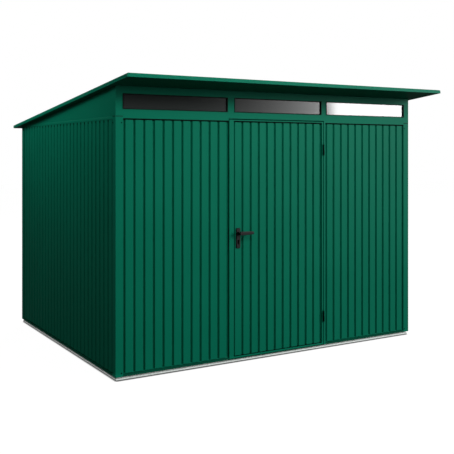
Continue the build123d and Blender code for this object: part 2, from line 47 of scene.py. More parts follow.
MILLIMETRE = 0.001
CLEARANCE = 0.2 * MILLIMETRE

# Places of the CAD frame that its boxes don't give, in metres
HINGE_AXIS_X = 0.467
HINGE_AXIS_Y = -1.0845
HINGE_HEIGHT = 0.090
ROOF_TILT = radians(5.75)
ROOF_EDGE_Y = -1.42349
ROOF_EDGE_Z = 2.25748
PAN_SINK = -0.0273
PURLIN_RUNS = (1.088, 1.810)
PAN_COUNT = 5
SHEETS_A_WALL = 3
SIDE_RIBS = 27

# Places read from its boxes
PANEL_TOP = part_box("front_panel_left")[1].z
POST_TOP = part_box("corner_post_front_left")[1].z
PANEL_CAP_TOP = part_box("panel_caps_front")[1].z
FRONT_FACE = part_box("header_rail")[0].y

# Heights on the base frame: painted shade darkens its zinc up to the first, and leaves it clean from the
# second
ZINC_SHADE_TO = 7 * MILLIMETRE
ZINC_UNSHADED_FROM = 10 * MILLIMETRE

# Closures in the slots of the ribbed sheets
SLOT_HEIGHT = 8 * MILLIMETRE
SLOT_DEPTH = 10.8 * MILLIMETRE
HEAD_LIP = 3 * MILLIMETRE
HEAD_LIP_WALL = 1.2 * MILLIMETRE
HEAD_ROUND = 0.5 * MILLIMETRE
FOOT_RECESS = 6 * MILLIMETRE
FOOT_ROUND = 1.2 * MILLIMETRE

# Foam plugs in the groove tops under the side head rails
SHEET_EDGE = 9 * MILLIMETRE
PLUG_WIDTH = 21 * MILLIMETRE
PLUG_HEIGHT = 20 * MILLIMETRE
PLUG_INSET = 1.5 * MILLIMETRE
PLUG_DEPTH = 10.6 * MILLIMETRE
PLUG_TAPER_SHARE = 0.42
PLUG_ROUND = 1 * MILLIMETRE

# Threshold strip and door sweep
THRESHOLD_HEIGHT = 3 * MILLIMETRE
THRESHOLD_REACH = 7 * MILLIMETRE
THRESHOLD_INSET = 1 * MILLIMETRE
THRESHOLD_DEPTH = 15 * MILLIMETRE
SWEEP_INSET = 1 * MILLIMETRE
SWEEP_DEPTH = 6 * MILLIMETRE
SWEEP_GAP = 1.2 * MILLIMETRE

# Hat-section strips behind the joints of the wall sheets
STRIP_WIDTH = 60 * MILLIMETRE
STRIP_WALL = 1.5 * MILLIMETRE
STRIP_FLANGE = 16 * MILLIMETRE
STRIP_CROWN = 8 * MILLIMETRE
STRIP_END = 12 * MILLIMETRE
STRIP_ROUND = 0.4 * MILLIMETRE

# Window gaskets and the pads in the corner posts' joints
GASKET_LIP = 3 * MILLIMETRE
GASKET_WALL = 2.4 * MILLIMETRE
GASKET_ROUND = 0.4 * MILLIMETRE
PAD_RIM = 2 * MILLIMETRE
PAD_ROUND = 0.6 * MILLIMETRE

# Button screws on the corner posts and the inner lock plate
BUTTON_RADIUS = 4.6 * MILLIMETRE
BUTTON_HEIGHT = 3.2 * MILLIMETRE
BUTTON_SOCKET = 1.6 * MILLIMETRE
BUTTON_SIDES = 18
BUTTON_FROM_CORNER = 48 * MILLIMETRE
BUTTON_LEVELS = (("low", 0.058), ("high", 1.919))
PLATE_SCREW_MARGIN = 12 * MILLIMETRE

# Lever collars, lever ends, keyhole flap and lock forend
COLLAR_RADIUS = 14 * MILLIMETRE
COLLAR_HEIGHT = 3.6 * MILLIMETRE
COLLAR_WALL = 4 * MILLIMETRE
COLLAR_ROUND = 1 * MILLIMETRE
COLLAR_STAND = 1.8 * MILLIMETRE
RETURN_DEPTH = 36 * MILLIMETRE
RETURN_ROOT = 5 * MILLIMETRE
RETURN_REACH = 9 * MILLIMETRE
RETURN_MIDDLE = 2 * MILLIMETRE
RETURN_HALF_HEIGHT = 11.5 * MILLIMETRE
RETURN_BEND = 5.5 * MILLIMETRE
RETURN_ROUND = 2.4 * MILLIMETRE
RETURN_TAPER_SHARES = (0.85, 1, 0.8)
FLAP_HALF_WIDTH = 5.5 * MILLIMETRE
FLAP_MARGIN = 2 * MILLIMETRE
FLAP_STAND = 1.4 * MILLIMETRE
FLAP_RIM = 1.4 * MILLIMETRE
FLAP_SINK = -0.3 * MILLIMETRE
FLAP_ROUND = 0.35 * MILLIMETRE
FOREND_THICKNESS = 0.9 * MILLIMETRE
FOREND_NEAR = 8 * MILLIMETRE
FOREND_FAR = 28 * MILLIMETRE
FOREND_MARGIN = 5 * MILLIMETRE
FOREND_RIM = 0.3 * MILLIMETRE
FOREND_ROUND = 0.25 * MILLIMETRE

# Hinge caps
CAP_RADIUS = 5.6 * MILLIMETRE
CAP_FLATTENING_SHARE = 0.6

# Roofing screws
WASHER_RADIUS = 9 * MILLIMETRE
WASHER_HEIGHT = 2 * MILLIMETRE
WASHER_RIM = 2.5 * MILLIMETRE
WASHER_DISH = 0.8 * MILLIMETRE
WASHER_LAND = 1.5 * MILLIMETRE
HEXAGON_HEIGHT = 4.5 * MILLIMETRE
HEXAGON_EDGE = 1.2 * MILLIMETRE
HEXAGON_DOME = 0.6 * MILLIMETRE
PAN_SCREW_SHARES = (0.15, 0.5, 0.85)

# Studio: angles in degrees, lengths in metres
FLOOR_SIZE = 60
FRAME_FOOT = 30 * MILLIMETRE
CONTACT_SHADE = 18 * MILLIMETRE
BOUNCE_REACH = 0.07
KEY_EDGE = 52.1
KEY_GLOW_WIDTH = 14
CAMERA_PLACE = (-3.7187, -6.4375, 1.7025)
CAMERA_TURN = -30.945
CAMERA_LENS = 61.75
CAMERA_SENSOR = 36
CAMERA_SHIFT = -0.1656


def linear(hex_colour):
    """Linear colour with alpha from an sRGB hex value."""
    channels = [int(hex_colour[place:place + 2], 16) / 255 for place in (1, 3, 5)]
    straight = [c / 12.92 if c <= 0.04045 else ((c + 0.055) / 1.055) ** 2.4 for c in channels]
    return (*straight, 1.0)


def add_node(tree, kind, inputs=None, **settings):
    """Adds a shader node with its settings, and sets or links its inputs."""
    node = tree.nodes.new(kind)
    for name, value in settings.items():
        setattr(node, name, value)
    for socket, value in (inputs or {}).items():
        if isinstance(value, bpy.types.NodeSocket):
            tree.links.new(value, node.inputs[socket])
        else:
            node.inputs[socket].default_value = value
    return node


def new_material(name):
    """An empty node material, its tree and the Object coordinates in it."""
    material = bpy.data.materials.new(name)
    material.use_nodes = True
    tree = material.node_tree
    tree.nodes.clear()
    place = add_node(tree, "ShaderNodeTexCoord").outputs["Object"]
    return material, tree, place


def close_material(tree, shader):
    """Links the finished shader to the output."""
    add_node(tree, "ShaderNodeOutputMaterial", {"Surface": shader})


def pattern_scale(size_in_mm):
    """Texture scale for a pattern whose features are that many millimetres across."""
    return 1 / (size_in_mm * MILLIMETRE)


# Finishes

def powder_coated_steel(name, deep, pale):
    """Polyester powder coat, baked on zinc-coated sheet: an even satin green with a faint orange peel."""
    material, tree, place = new_material(name)
    # Slow drift of the coat's depth over about half a metre
    drift = add_node(tree, "ShaderNodeTexNoise", {
        "Vector": place, "Scale": pattern_scale(450), "Detail": 3.0, "Roughness": 0.5})
    colour = add_node(tree, "ShaderNodeMix", {
        "Factor": drift.outputs["Fac"], "A": linear(deep), "B": linear(pale)},
        data_type="RGBA")
    # Orange peel is about 2 mm across; drawn at 6 mm so that it still shows
    peel = add_node(tree, "ShaderNodeTexNoise", {
        "Vector": place, "Scale": pattern_scale(6), "Detail": 2.0})
    bump = add_node(tree, "ShaderNodeBump", {
        "Height": peel.outputs["Fac"], "Strength": 0.08, "Distance": 0.4 * MILLIMETRE})
    gloss = add_node(tree, "ShaderNodeMapRange", {
        "Value": drift.outputs["Fac"], "To Min": 0.40, "To Max": 0.48})
    coat = add_node(tree, "ShaderNodeBsdfPrincipled", {
        "Base Color": colour.outputs["Result"], "Roughness": gloss.outputs["Result"],
        "Specular IOR Level": 0.03, "Normal": bump.outputs["Normal"]})
    close_material(tree, coat.outputs["BSDF"])
    return material


def hot_dip_galvanised_steel():
    """Hot-dip zinc: pale grey, with soft spangle crystals, and painted shade that darkens it towards the
    ground.
    """
    material, tree, place = new_material("hot_dip_galvanised_steel")
    spangle = add_node(tree, "ShaderNodeTexVoronoi", {
        "Vector": place, "Scale": pattern_scale(14), "Randomness": 1.0})
    crystal = add_node(tree, "ShaderNodeSeparateColor", {"Color": spangle.outputs["Color"]})
    zinc = add_node(tree, "ShaderNodeMix", {
        "Factor": crystal.outputs["Red"], "A": linear("#B6BCB9"), "B": linear("#C7CCC9")},
        data_type="RGBA")
    height = add_node(tree, "ShaderNodeSeparateXYZ", {"Vector": place})
    # Painted contact shadow: the lowest few millimetres of the zinc turn dark grey
    ground_shade = add_node(tree, "ShaderNodeMapRange", {
        "Value": height.outputs["Z"], "From Min": ZINC_SHADE_TO, "From Max": ZINC_UNSHADED_FROM})
    colour = add_node(tree, "ShaderNodeMix", {
        "Factor": ground_shade.outputs["Result"], "A": linear("#474948"), "B": zinc.outputs["Result"]},
        data_type="RGBA")
    gloss = add_node(tree, "ShaderNodeMapRange", {
        "Value": crystal.outputs["Green"], "To Min": 0.45, "To Max": 0.6})
    metal = add_node(tree, "ShaderNodeBsdfPrincipled", {
        "Base Color": colour.outputs["Result"], "Metallic": 0.2, "Roughness": gloss.outputs["Result"]})
    close_material(tree, metal.outputs["BSDF"])
    return material


def smoked_acrylic():
    """Cast acrylic, smoked nearly black: a flat mirror-smooth sheet that shows the studio in it."""
    material, tree, place = new_material("smoked_cast_acrylic")
    ripple = add_node(tree, "ShaderNodeTexNoise", {
        "Vector": place, "Scale": pattern_scale(300), "Detail": 1.0})
    bump = add_node(tree, "ShaderNodeBump", {
        "Height": ripple.outputs["Fac"], "Strength": 0.02, "Distance": 1 * MILLIMETRE})
    sheet = add_node(tree, "ShaderNodeBsdfPrincipled", {
        "Base Color": linear("#333736"), "Roughness": 0.07, "IOR": 1.49, "Specular IOR Level": 0.75,
        "Transmission Weight": 0.3, "Normal": bump.outputs["Normal"]})
    close_material(tree, sheet.outputs["BSDF"])
    return material


def moulded_black_nylon():
    """Glass-filled nylon, moulded: black with a fine dull grain."""
    material, tree, place = new_material("moulded_black_nylon")
    grain = add_node(tree, "ShaderNodeTexNoise", {
        "Vector": place, "Scale": pattern_scale(1.2), "Detail": 2.0})
    colour = add_node(tree, "ShaderNodeMix", {
        "Factor": grain.outputs["Fac"], "A": linear("#0E0C0D"), "B": linear("#171415")},
        data_type="RGBA")
    bump = add_node(tree, "ShaderNodeBump", {
        "Height": grain.outputs["Fac"], "Strength": 0.15, "Distance": 0.2 * MILLIMETRE})
    plastic = add_node(tree, "ShaderNodeBsdfPrincipled", {
        "Base Color": colour.outputs["Result"], "Roughness": 0.34, "Specular IOR Level": 0.26,
        "Normal": bump.outputs["Normal"]})
    close_material(tree, plastic.outputs["BSDF"])
    return material


def black_painted_steel():
    """Steel sprayed satin black: dark, with a little drift in its gloss."""
    material, tree, place = new_material("black_painted_steel")
    drift = add_node(tree, "ShaderNodeTexNoise", {
        "Vector": place, "Scale": pattern_scale(25), "Detail": 2.0})
    gloss = add_node(tree, "ShaderNodeMapRange", {
        "Value": drift.outputs["Fac"], "To Min": 0.35, "To Max": 0.5})
    paint = add_node(tree, "ShaderNodeBsdfPrincipled", {
        "Base Color": linear("#040505"), "Roughness": gloss.outputs["Result"],
        "Specular IOR Level": 0.02})
    close_material(tree, paint.outputs["BSDF"])
    return material


def zinc_plated_steel():
    """Bright zinc plate, as on lock parts: a silvery metal with a brushed drift."""
    material, tree, place = new_material("zinc_plated_steel")
    stretched = add_node(tree, "ShaderNodeMapping", {
        "Vector": place, "Scale": (1.0, 1.0, 0.05)})
    brushing = add_node(tree, "ShaderNodeTexNoise", {
        "Vector": stretched.outputs["Vector"], "Scale": pattern_scale(2), "Detail": 3.0})
    gloss = add_node(tree, "ShaderNodeMapRange", {
        "Value": brushing.outputs["Fac"], "To Min": 0.28, "To Max": 0.45})
    metal = add_node(tree, "ShaderNodeBsdfPrincipled", {
        "Base Color": linear("#A9ABA8"), "Metallic": 1.0, "Roughness": gloss.outputs["Result"]})
    close_material(tree, metal.outputs["BSDF"])
    return material


def closed_cell_foam():
    """Closed-cell closure foam: soot black and matt, with fine pores along its cut faces."""
    material, tree, place = new_material("black_closed_cell_foam")
    # Pores are about 0.5 mm across; drawn at 2 mm so that they show close up
    pores = add_node(tree, "ShaderNodeTexVoronoi", {"Vector": place, "Scale": pattern_scale(2)})
    colour = add_node(tree, "ShaderNodeMix", {
        "Factor": pores.outputs["Distance"], "A": linear("#050706"), "B": linear("#0C0F0E")},
        data_type="RGBA")
    bump = add_node(tree, "ShaderNodeBump", {
        "Height": pores.outputs["Distance"], "Strength": 0.4, "Distance": 0.5 * MILLIMETRE})
    foam = add_node(tree, "ShaderNodeBsdfPrincipled", {
        "Base Color": colour.outputs["Result"], "Roughness": 0.95, "Specular IOR Level": 0.02,
        "Normal": bump.outputs["Normal"]})
    close_material(tree, foam.outputs["BSDF"])
    return material


def extruded_rubber():
    """EPDM rubber, extruded: black, with a dull bloom that comes and goes along it."""
    material, tree, place = new_material("black_extruded_rubber")
    bloom = add_node(tree, "ShaderNodeTexNoise", {
        "Vector": place, "Scale": pattern_scale(40), "Detail": 3.0})
    colour = add_node(tree, "ShaderNodeMix", {
        "Factor": bloom.outputs["Fac"], "A": linear("#060908"), "B": linear("#121514")},
        data_type="RGBA")
    rubber = add_node(tree, "ShaderNodeBsdfPrincipled", {
        "Base Color": colour.outputs["Result"], "Roughness": 0.7, "Specular IOR Level": 0.08})
    close_material(tree, rubber.outputs["BSDF"])
    return material


green = powder_coated_steel("green_powder_coated_steel", "#03614A", "#056850")
# A darker copy of the green coat, which paints shade: on the sills, and on the strips under the door
painted_shade_green = powder_coated_steel("green_powder_coat_painted_shade", "#023F2E", "#034332")
zinc = hot_dip_galvanised_steel()
acrylic = smoked_acrylic()
nylon = moulded_black_nylon()
black_paint = black_painted_steel()
plated = zinc_plated_steel()
# The black foam is used as painted shade: in slots, in groove tops and over the keyhole
foam = closed_cell_foam()
rubber = extruded_rubber()

finishes = {
    "green_powder_coat": green,
    "galvanised_steel": zinc,
    "smoked_acrylic": acrylic,
    "black_nylon": nylon,
    "black_steel": black_paint,
    "plated_steel": plated,
}
for subpart in frame["record"]["subparts"]:
    mesh = nodes[subpart["node"]].data
    mesh.materials.clear()
    mesh.materials.append(finishes[subpart["material_slot"]])
# The sills take the darker copy of the green: painted shade on their faces
for sill in ("sill_front", "sills_sides", "sill_back"):
    nodes[sill].data.materials[0] = painted_shade_green

# Fittings

def take_up(piece, name, finish, body):
    """Names a finished piece, gives it its finish and lets it ride on its body."""
    bpy.ops.object.transform_apply(location=True, rotation=True, scale=True)
    bpy.ops.object.shade_smooth_by_angle(angle=radians(35))
    piece.name = name
    piece.data.name = name
    piece.data.materials.clear()
    piece.data.materials.append(finish)
    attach(piece, body)
    return piece


def finish_with(piece, kind, **settings):
    """Adds a modifier with its settings and applies it."""
    modifier = piece.modifiers.new(kind.lower(), kind)
    for name, value in settings.items():
        setattr(modifier, name, value)
    bpy.ops.object.modifier_apply(modifier=modifier.name)


def pick_faces(piece, wanted):
    """Goes into edit mode with only the wanted faces selected."""
    bpy.ops.object.mode_set(mode="EDIT")
    bpy.ops.mesh.select_mode(type="FACE")
    bpy.ops.mesh.select_all(action="DESELECT")
    bpy.ops.object.mode_set(mode="OBJECT")
    for face in piece.data.polygons:
        face.select = wanted(face)
    bpy.ops.object.mode_set(mode="EDIT")


def start_block(low, high):
    """A block between two corners, ready for shaping."""
    low, high = Vector(low), Vector(high)
    bpy.ops.object.select_all(action="DESELECT")
    bpy.ops.mesh.primitive_cube_add(size=1, location=(low + high) / 2, scale=high - low)
    bpy.ops.object.transform_apply(location=True, rotation=True, scale=True)
    return bpy.context.object


def shaded_head_closure(name, low, high, body):
    """Black closure foam pressed into a head slot, with a thin lip down over the sheet's top edge. Its black
    paints the slot's deep shade.
    """
    strip = start_block(low, high)
    pick_faces(strip, lambda face: face.normal.z < -0.5)
    bpy.ops.mesh.bisect(plane_co=(0, low[1] + HEAD_LIP_WALL, 0), plane_no=(0, 1, 0))
    bpy.ops.object.mode_set(mode="OBJECT")
    pick_faces(strip, lambda face: face.normal.z < -0.5 and face.center.y < low[1] + HEAD_LIP_WALL)
    bpy.ops.mesh.extrude_region_move(TRANSFORM_OT_translate={"value": (0, 0, -HEAD_LIP)})
    bpy.ops.object.mode_set(mode="OBJECT")
    finish_with(strip, "BEVEL", width=HEAD_ROUND, segments=2, limit_method="ANGLE")
    take_up(strip, name, foam, body)


def foot_closure(name, low, high, finish, body):
    """A strip along the foot of a sheet or of the door, its edges rounded."""
    strip = start_block(low, high)
    finish_with(strip, "BEVEL", width=FOOT_ROUND, segments=2)
    take_up(strip, name, finish, body)


def lever_return(name, tip, away):
    """The end of a lever, turned back towards the door round a wide bend."""
    near, deep = tip.y, tip.y + away * RETURN_DEPTH
    bend = start_block((tip.x - RETURN_ROOT, min(near, deep), tip.z - RETURN_HALF_HEIGHT),
                       (tip.x + RETURN_REACH, max(near, deep), tip.z + RETURN_HALF_HEIGHT))
    pick_faces(bend, lambda face: face.normal.y * away < -0.5)
    bpy.ops.mesh.bevel(offset=RETURN_BEND, segments=5, affect="EDGES")
    bpy.ops.object.mode_set(mode="OBJECT")
    pick_faces(bend, lambda face: face.normal.y * away > 0.9)
    bpy.ops.transform.resize(value=RETURN_TAPER_SHARES,
                             center_override=(tip.x + RETURN_MIDDLE, deep, tip.z))
    bpy.ops.object.mode_set(mode="OBJECT")
    finish_with(bend, "BEVEL", width=RETURN_ROUND, segments=3, limit_method="ANGLE",
                angle_limit=radians(40))
    take_up(bend, name, nylon, "lever")


def joint_strip(name, low, high, inward):
    """A green hat-section strip behind the joint of two wall sheets, its crown towards the room."""
    strip = start_block(low, high)
    inward = Vector(inward)
    pick_faces(strip, lambda face: face.normal.dot(inward) > 0.5)
    bpy.ops.mesh.inset(thickness=STRIP_FLANGE)
    bpy.ops.mesh.extrude_region_move(TRANSFORM_OT_translate={"value": inward * STRIP_CROWN})
    bpy.ops.object.mode_set(mode="OBJECT")
    finish_with(strip, "BEVEL", width=STRIP_ROUND, segments=2, limit_method="ANGLE")
    take_up(strip, name, green, "shed")


def keyhole_shade_flap(name, low, high):
    """A soft black flap in front of the keyhole, with rounded edges and a sunk middle: a dark piece that
    paints the keyhole's shade.
    """
    flap = start_block(low, high)
    finish_with(flap, "BEVEL", width=FLAP_ROUND, segments=2)
    pick_faces(flap, lambda face: face.normal.y < -0.9)
    bpy.ops.mesh.inset(thickness=FLAP_RIM, depth=FLAP_SINK)
    bpy.ops.object.mode_set(mode="OBJECT")
    take_up(flap, name, foam, "door")


def window_gasket(name, pane):
    """A rubber gasket round a pane: a lip on the frame's face, and a leg that goes in to the pane."""
    low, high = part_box(pane)
    middle = (low + high) / 2
    wall = GASKET_WALL + CLEARANCE
    bpy.ops.object.select_all(action="DESELECT")
    bpy.ops.mesh.primitive_plane_add(size=1)
    ring = bpy.context.object
    ring.scale = (high.x - low.x + 2 * GASKET_LIP, high.z - low.z + 2 * GASKET_LIP, 1)
    ring.rotation_euler = (radians(90), 0, 0)
    ring.location = (middle.x, FRONT_FACE - wall, middle.z)
    bpy.ops.object.transform_apply(location=True, rotation=True, scale=True)
    bpy.ops.object.mode_set(mode="EDIT")
    bpy.ops.mesh.select_all(action="SELECT")
    bpy.ops.mesh.inset(thickness=GASKET_LIP + wall)
    leg = (0, low.y - CLEARANCE - FRONT_FACE + wall, 0)
    bpy.ops.mesh.extrude_region_move(TRANSFORM_OT_translate={"value": leg})
    bpy.ops.mesh.delete(type="FACE")
    bpy.ops.object.mode_set(mode="OBJECT")
    finish_with(ring, "SOLIDIFY", thickness=GASKET_WALL, offset=-1, use_even_offset=True)
    finish_with(ring, "BEVEL", width=GASKET_ROUND, segments=2, limit_method="ANGLE")
    take_up(ring, name, rubber, "shed")


def joint_pad(name, low, high):
    """A thin rubber pad in the joint over a corner post, its rim set back a little."""
    pad = start_block(low, high)
    pick_faces(pad, lambda face: abs(face.normal.z) > 0.5)
    bpy.ops.mesh.inset(thickness=PAD_RIM, use_individual=True)
    bpy.ops.object.mode_set(mode="OBJECT")
    finish_with(pad, "BEVEL", width=PAD_ROUND, segments=2)
    take_up(pad, name, rubber, "shed")


def groove_shade_plugs(name, sheets, outside):
    """Black foam plugs in the groove tops under a side head rail, one shaped and then repeated along it.
    Their black is painted shade in the groove tops.
    """
    low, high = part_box(sheets)
    face = low.x if outside < 0 else high.x
    near, deep = face - outside * PLUG_INSET, face - outside * PLUG_DEPTH
    pitch = (high.y - low.y - 2 * SHEET_EDGE) / SIDE_RIBS
    first = low.y + SHEET_EDGE + pitch
    plug = start_block((min(near, deep), first - PLUG_WIDTH / 2, PANEL_TOP - PLUG_HEIGHT),
                       (max(near, deep), first + PLUG_WIDTH / 2, PANEL_TOP - CLEARANCE))
    pick_faces(plug, lambda flat: flat.normal.x * outside < -0.5)
    bpy.ops.transform.resize(value=(1, PLUG_TAPER_SHARE, 1), center_override=(deep, first, PANEL_TOP))
    bpy.ops.object.mode_set(mode="OBJECT")
    finish_with(plug, "BEVEL", width=PLUG_ROUND, segments=1)
    finish_with(plug, "ARRAY", count=SIDE_RIBS - 1, use_relative_offset=False,
                use_constant_offset=True, constant_offset_displace=(0, pitch, 0))
    take_up(plug, name, foam, "shed")


def screw_blank(radius, height, sides, socket):
    """A screw head standing up at the origin: a rounded button with a sunk drive in its top."""
    bpy.ops.object.select_all(action="DESELECT")
    bpy.ops.mesh.primitive_cylinder_add(
        vertices=sides, radius=radius, depth=height, location=(0, 0, height / 2))
    bpy.ops.object.transform_apply(location=True, rotation=True, scale=True)
    head = bpy.context.object
    pick_faces(head, lambda face: face.normal.z > 0.5)
    bpy.ops.mesh.bevel(offset=height * 0.45, segments=3, affect="EDGES")
    bpy.ops.object.mode_set(mode="OBJECT")
    top = max(face.center.z for face in head.data.polygons)
    pick_faces(head, lambda face: face.normal.z > 0.9 and face.center.z > top - height * 0.02)
    bpy.ops.mesh.inset(thickness=socket)
    bpy.ops.mesh.extrude_region_move(TRANSFORM_OT_translate={"value": (0, 0, -height * 0.4)})
    bpy.ops.object.mode_set(mode="OBJECT")
    return head


def washer_screw_blank():
    """A roofing screw standing up at the origin, its tall head on a domed washer."""
    bpy.ops.object.select_all(action="DESELECT")
    bpy.ops.mesh.primitive_cylinder_add(
        vertices=12, radius=WASHER_RADIUS, depth=WASHER_HEIGHT, location=(0, 0, WASHER_HEIGHT / 2))
    bpy.ops.object.transform_apply(location=True, rotation=True, scale=True)
    screw = bpy.context.object
    pick_faces(screw, lambda face: face.normal.z > 0.5)
    bpy.ops.mesh.inset(thickness=WASHER_RIM, depth=WASHER_DISH)
    bpy.ops.mesh.inset(thickness=WASHER_LAND)
    bpy.ops.mesh.extrude_region_move(TRANSFORM_OT_translate={"value": (0, 0, HEXAGON_HEIGHT)})
    bpy.ops.mesh.inset(thickness=HEXAGON_EDGE, depth=HEXAGON_DOME)
    bpy.ops.object.mode_set(mode="OBJECT")
    return screw


def drive(blank, name, place, turn, finish, body):
    """A copy of a screw, turned and set in its place."""
    bpy.ops.object.select_all(action="DESELECT")
    blank.select_set(True)
    bpy.context.view_layer.objects.active = blank
    bpy.ops.object.duplicate(linked=False)
    screw = bpy.context.object
    screw.location = place
    screw.rotation_euler = turn
    take_up(screw, name, finish, body)


def put_away(blank):
    """Removes a pattern piece once its copies are made."""
    bpy.ops.object.select_all(action="DESELECT")
    blank.select_set(True)
    bpy.ops.object.delete()


def lever_collar(name, place):
    """A ring round a lever's neck, on the plate, with rounded rims."""
    bpy.ops.object.select_all(action="DESELECT")
    bpy.ops.mesh.primitive_cylinder_add(
        vertices=40, radius=COLLAR_RADIUS, depth=COLLAR_HEIGHT, end_fill_type="NOTHING",
        location=place, rotation=(radians(90), 0, 0))
    bpy.ops.object.transform_apply(location=True, rotation=True, scale=True)
    ring = bpy.context.object
    finish_with(ring, "SOLIDIFY", thickness=COLLAR_WALL, offset=-1)
    finish_with(ring, "BEVEL", width=COLLAR_ROUND, segments=3, limit_method="ANGLE")
    take_up(ring, name, nylon, "door")


def hinge_cap(name, place, upward, body):
    """A domed cap on the end of a hinge barrel."""
    bpy.ops.object.select_all(action="DESELECT")
    bpy.ops.mesh.primitive_uv_sphere_add(
        segments=20, ring_count=10, radius=CAP_RADIUS, location=place)
    cap = bpy.context.object
    cap.scale = (1, 1, CAP_FLATTENING_SHARE)
    bpy.ops.object.transform_apply(location=True, rotation=True, scale=True)
    bpy.ops.object.mode_set(mode="EDIT")
    bpy.ops.mesh.select_all(action="SELECT")
    bpy.ops.mesh.bisect(plane_co=place, plane_no=(0, 0, upward), clear_inner=True, use_fill=True)
    bpy.ops.object.mode_set(mode="OBJECT")
    take_up(cap, name, black_paint, body)


def lock_forend(name, low, high):
    """The thin plate of the lock on the door's edge, with its edges rounded."""
    plate = start_block(low, high)
    pick_faces(plate, lambda face: abs(face.normal.x) > 0.5)
    bpy.ops.mesh.inset(thickness=FOREND_RIM, use_individual=True)
    bpy.ops.object.mode_set(mode="OBJECT")
    finish_with(plate, "BEVEL", width=FOREND_ROUND, segments=2)
    take_up(plate, name, plated, "door")


# Closures in the slots over and under the ribbed sheets of the front and the door; the black foam ones, in
# the head slots and under the door, paint the slots' deep shade
for sheet_name, body, finish, slot in (("front_panel_left", "shed", green, "green_powder_coat"),
                                       ("front_panel_right", "shed", green, "green_powder_coat"),
                                       ("door_skin", "door", foam, "black_nylon")):
    low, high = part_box(sheet_name)
    deep = low.y + SLOT_DEPTH
    shaded_head_closure(f"closure_head_shade_{sheet_name}",
                 (low.x + CLEARANCE, low.y - HEAD_LIP_WALL, high.z + CLEARANCE),
                 (high.x - CLEARANCE, deep, high.z + SLOT_HEIGHT - CLEARANCE), body)
    foot_closure(f"closure_foot_{sheet_name}",
                 (low.x + CLEARANCE, low.y + FOOT_RECESS, low.z - SLOT_HEIGHT + CLEARANCE),
                 (high.x - CLEARANCE, deep, low.z - CLEARANCE), finish, body)

# Closures over the sills of the sides and the back, and black foam plugs under the side head rails, which are
# painted shade in the groove tops
for sheet_name, outside in (("wall_sheets_left", -1), ("wall_sheets_right", 1)):
    low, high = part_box(sheet_name)
    face = low.x if outside < 0 else high.x
    near, deep = face - outside * FOOT_RECESS, face - outside * SLOT_DEPTH
    foot_closure(f"closure_foot_{sheet_name}",
                 (min(near, deep), low.y + CLEARANCE, low.z - SLOT_HEIGHT + CLEARANCE),
                 (max(near, deep), high.y - CLEARANCE, low.z - CLEARANCE),
                 green, "shed")
    groove_shade_plugs(f"shade_foam_plugs_{sheet_name}", sheet_name, outside)
low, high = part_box("wall_sheets_back")
foot_closure("closure_foot_wall_sheets_back",
             (low.x + CLEARANCE, high.y - SLOT_DEPTH, low.z - SLOT_HEIGHT + CLEARANCE),
             (high.x - CLEARANCE, high.y - FOOT_RECESS, low.z - CLEARANCE),
             green, "shed")

# The doorway's threshold strip on the base frame's sloping edge, and the sweep under the door, both in the
# darker green: painted shade of the gap under the door
leaf_low, leaf_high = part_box("door_stiles")
leaf_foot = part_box("door_bottom_rail")[0].z
base_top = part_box("base_rail_front")[1].z
foot_closure("threshold_shade_strip",
             (leaf_low.x - THRESHOLD_REACH, FRONT_FACE + THRESHOLD_INSET, base_top - THRESHOLD_HEIGHT),
             (leaf_high.x + THRESHOLD_REACH, FRONT_FACE + THRESHOLD_DEPTH, base_top - CLEARANCE),
             painted_shade_green, "shed")
foot_closure("door_sweep_shade",
             (leaf_low.x + SWEEP_INSET, leaf_low.y + SWEEP_INSET, base_top + SWEEP_GAP),
             (leaf_high.x - SWEEP_INSET, leaf_low.y + SWEEP_INSET + SWEEP_DEPTH, leaf_foot - CLEARANCE),
             painted_shade_green, "door")

# Hat-section strips inside, behind the joints of the three sheets of each closed wall
half_strip = STRIP_WIDTH / 2
for sheet_name, inward in (("wall_sheets_left", 1), ("wall_sheets_right", -1)):
    low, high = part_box(sheet_name)
    inside = high.x + CLEARANCE if inward > 0 else low.x - CLEARANCE
    reach = inside + inward * STRIP_WALL
    for joint in range(1, SHEETS_A_WALL):
        middle = low.y + (high.y - low.y) * joint / SHEETS_A_WALL
        joint_strip(f"joint_strip_{sheet_name}_{joint}",
                    (min(inside, reach), middle - half_strip, low.z + STRIP_END),
                    (max(inside, reach), middle + half_strip, high.z - STRIP_END), (inward, 0, 0))
low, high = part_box("wall_sheets_back")
for joint in range(1, SHEETS_A_WALL):
    middle = low.x + (high.x - low.x) * joint / SHEETS_A_WALL
    joint_strip(f"joint_strip_wall_sheets_back_{joint}",
                (middle - half_strip, low.y - CLEARANCE - STRIP_WALL, low.z + STRIP_END),
                (middle + half_strip, low.y - CLEARANCE, high.z - STRIP_END), (0, -1, 0))

# Rubber round the panes and in the joints of the front corner posts
for side in ("left", "middle", "right"):
    window_gasket(f"gasket_{side}", f"window_pane_{side}")
for side in ("left", "right"):
    low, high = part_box(f"corner_post_front_{side}")
    joint_pad(f"joint_pad_{side}",
              (low.x + CLEARANCE, low.y + CLEARANCE, POST_TOP + CLEARANCE),
              (high.x - CLEARANCE, high.y - CLEARANCE, PANEL_CAP_TOP - CLEARANCE))

# Black button screws near the inner edge of each corner post, high and low
button = screw_blank(BUTTON_RADIUS, BUTTON_HEIGHT, BUTTON_SIDES, BUTTON_SOCKET)
for post, x_in, y_in in (("front_left", 1, 1), ("front_right", -1, 1),
                         ("back_right", -1, -1), ("back_left", 1, -1)):
    low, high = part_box(f"corner_post_{post}")
    outer = Vector((low.x if x_in > 0 else high.x, low.y if y_in > 0 else high.y, 0))
    for level, height in BUTTON_LEVELS:
        across = Vector((outer.x + x_in * BUTTON_FROM_CORNER, outer.y, height))
        turn = (radians(90 * y_in), 0, 0)
        drive(button, f"screw_{post}_{level}_a", across, turn, black_paint, "shed")
        along = Vector((outer.x, outer.y + y_in * BUTTON_FROM_CORNER, height))
        turn = (0, radians(-90 * x_in), 0)
        drive(button, f"screw_{post}_{level}_b", along, turn, black_paint, "shed")

